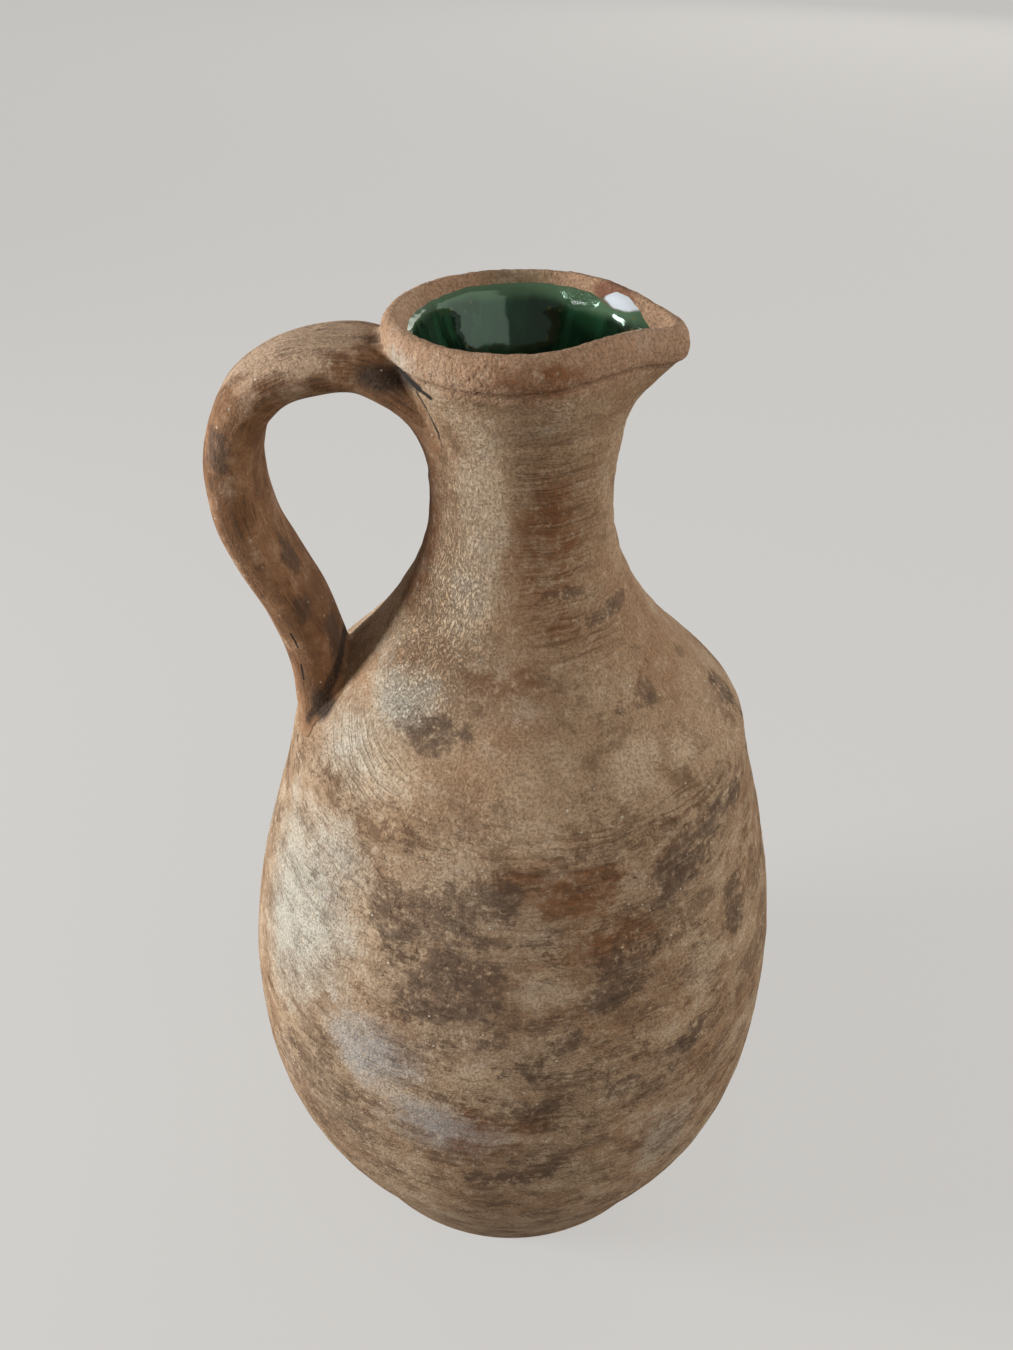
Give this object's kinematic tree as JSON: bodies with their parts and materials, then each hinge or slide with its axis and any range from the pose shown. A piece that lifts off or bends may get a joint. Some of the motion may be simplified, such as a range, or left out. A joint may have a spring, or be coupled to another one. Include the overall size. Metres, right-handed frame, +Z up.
{
  "type": "jug",
  "caption": "Thrown earthenware jug with a full belly, narrow neck, rolled collar pinched into a pouring lip, pulled strap handle and glazed inside.",
  "frame": {"origin": "centre of the flat foot, on the surface the jug stands on", "axes": "+Z up towards the mouth, -X towards the handle, +X towards the pouring lip"},
  "size_m": [0.192, 0.192, 0.3412],
  "materials": {
    "clay_body": "unglazed, smoke marked, fine throwing and scraping lines",
    "handle_clay": "unglazed, pulled lengthwise",
    "luting_clay": "unglazed, smoothed by hand",
    "green_glaze": "glossy dark green glaze"
  },
  "bodies": {
    "root": {"vessel": "clay_body", "handle": "handle_clay", "upper_luting_clay": "luting_clay", "lower_luting_clay": "luting_clay", "glaze_lining": "green_glaze"}
  },
  "joints": []
}
